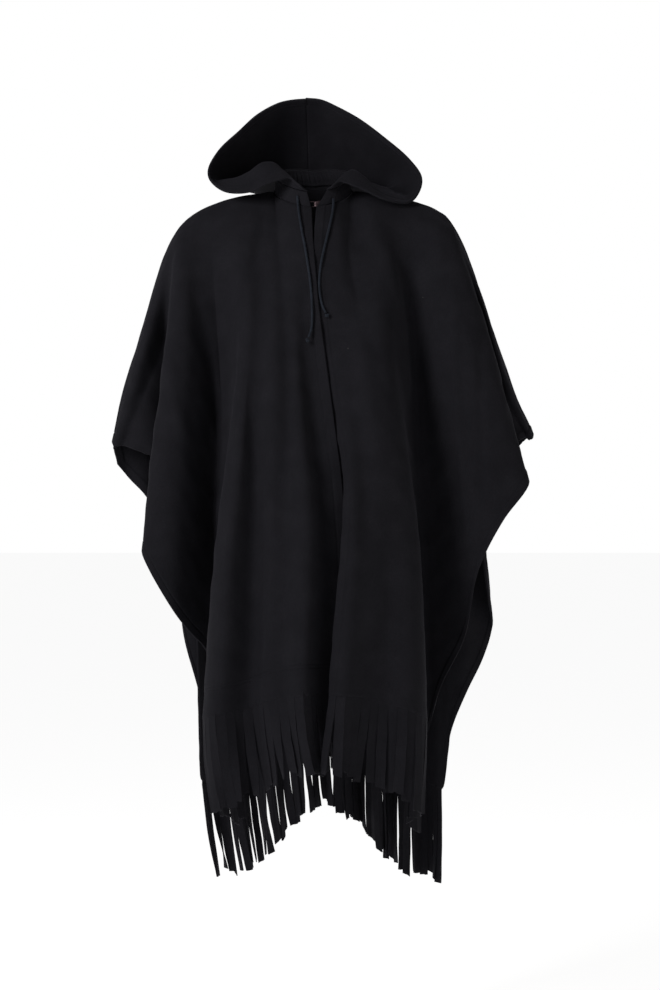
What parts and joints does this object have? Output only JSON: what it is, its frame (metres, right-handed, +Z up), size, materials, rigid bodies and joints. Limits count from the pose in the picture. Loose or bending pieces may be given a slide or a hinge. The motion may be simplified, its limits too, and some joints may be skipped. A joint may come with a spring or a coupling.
{
  "type": "hooded cape",
  "caption": "Long cape of thick black wool with a hood, fringed hem and free drawcord ends at the neck, hollow, in the shape it takes when worn.",
  "frame": {"origin": "between the shoulders, level with the base of the neck, where the wearer holds the cape up", "axes": "+Z up, -Y to the front, -X to the wearer's right"},
  "size_m": [0.6819, 0.3997, 1.3081],
  "materials": {
    "wool": "thick black wool with a soft raised nap",
    "cord": "dark navy braided cord",
    "metal": "brown oxidised metal with a pinkish sheen"
  },
  "bodies": {
    "root": {"front_right": "wool", "front_left": "wool", "back": "wool", "hood_right": "wool", "hood_left": "wool", "neck_casing": "wool", "fringe_front_right": "wool", "fringe_front_left": "wool", "fringe_back": "wool", "drawcord_right": "cord", "knot_right": "cord", "drawcord_left": "cord", "knot_left": "cord", "hook": "metal", "eye": "metal"}
  },
  "joints": []
}
